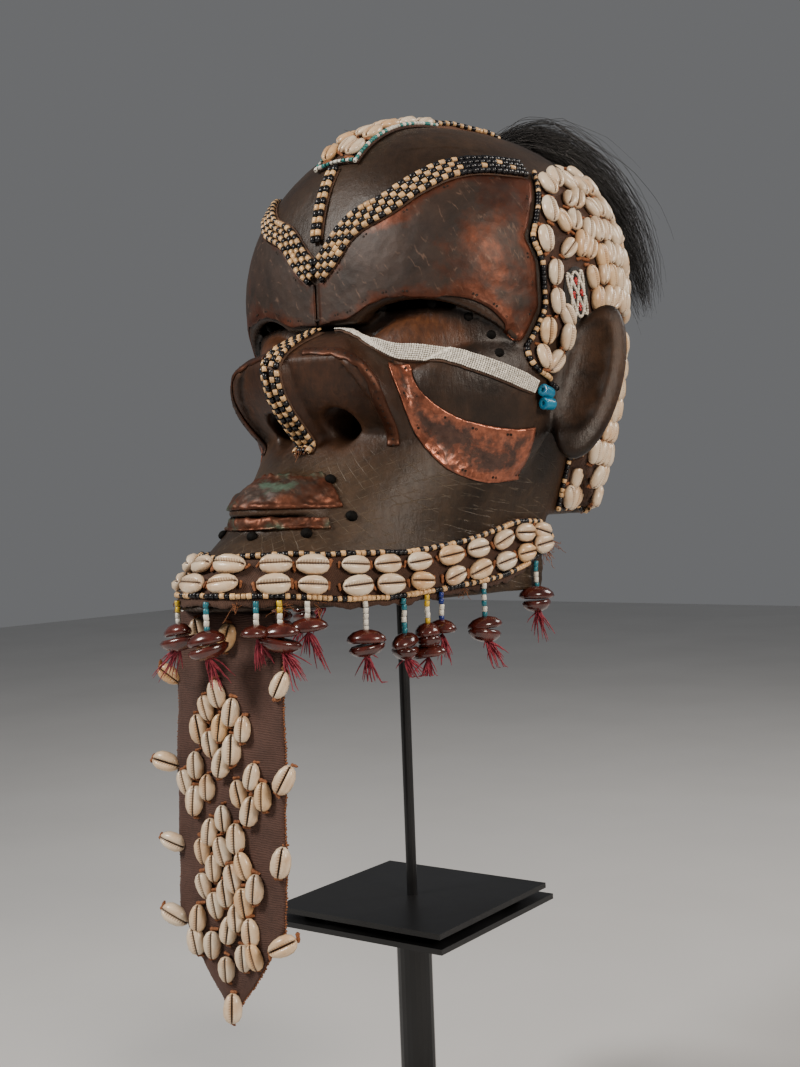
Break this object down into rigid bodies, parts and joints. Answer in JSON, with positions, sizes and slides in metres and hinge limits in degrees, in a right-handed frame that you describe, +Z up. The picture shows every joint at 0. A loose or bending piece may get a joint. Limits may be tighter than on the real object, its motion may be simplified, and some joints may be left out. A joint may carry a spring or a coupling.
{
  "type": "helmet mask on a stand",
  "caption": "Carved wooden helmet mask with copper sheets, bead bands, cowrie cloths, a pointed beard strap and a tuft of hair, on a black steel stand.",
  "frame": {"origin": "centre of the underside of the stand's foot plate", "axes": "+Z up along the post and the rod; the mask's face looks along -Y and its own left side is +X"},
  "size_m": [0.3432, 0.4765, 0.8084],
  "materials": {
    "wood": "worn, dark patina",
    "copper": "hammered sheet, tarnished",
    "beads": "small cream and black glass beads",
    "white_beads": "small white glass beads",
    "blue_glass": "glossy",
    "cloth": "coarse plant fibre cloth with cowries",
    "hair": "long straight hair",
    "pendants": "glossy seeds on bead strings with fibre tassels",
    "pegs": "burnt black",
    "steel": "satin black"
  },
  "bodies": {
    "root": {"carved_helmet": "wood", "brow_copper_left": "copper", "brow_copper_right": "copper", "cheek_copper_left": "copper", "cheek_copper_right": "copper", "upper_lip_copper": "copper", "lower_lip_copper": "copper", "nose_rim_left": "wood", "nose_rim_right": "wood", "brow_bead_band_left": "beads", "brow_bead_band_right": "beads", "centre_bead_band": "beads", "nose_bead_band": "beads", "eye_bead_band_left": "white_beads", "eye_bead_band_right": "white_beads", "blue_bead_1_left": "blue_glass", "blue_bead_1_right": "blue_glass", "blue_bead_2_left": "blue_glass", "blue_bead_2_right": "blue_glass", "cap_cloth": "cloth", "neck_cloth": "cloth", "crest_cloth": "cloth", "crest_rolled_edge": "cloth", "hair_tuft": "hair", "collar_cloth": "cloth", "beard_strap": "cloth", "pendant_left_1": "pendants", "pendant_left_2": "pendants", "pendant_left_3": "pendants", "pendant_left_4": "pendants", "pendant_left_5": "pendants", "pendant_left_6": "pendants", "pendant_left_7": "pendants", "pendant_left_8": "pendants", "pendant_left_9": "pendants", "pendant_right_1": "pendants", "pendant_right_2": "pendants", "pendant_right_3": "pendants", "pendant_right_4": "pendants", "pendant_right_5": "pendants", "pendant_right_6": "pendants", "pendant_right_7": "pendants", "pendant_right_8": "pendants", "mouth_peg_1": "pegs", "mouth_peg_2": "pegs", "mouth_peg_3": "pegs", "mouth_peg_4": "pegs", "mouth_peg_5": "pegs", "foot_plate": "steel", "lower_plate": "steel", "upper_plate": "steel", "post": "steel", "plate_spacer_1": "steel", "plate_spacer_2": "steel", "plate_spacer_3": "steel", "plate_spacer_4": "steel", "rod_with_saddle": "steel"}
  },
  "joints": []
}
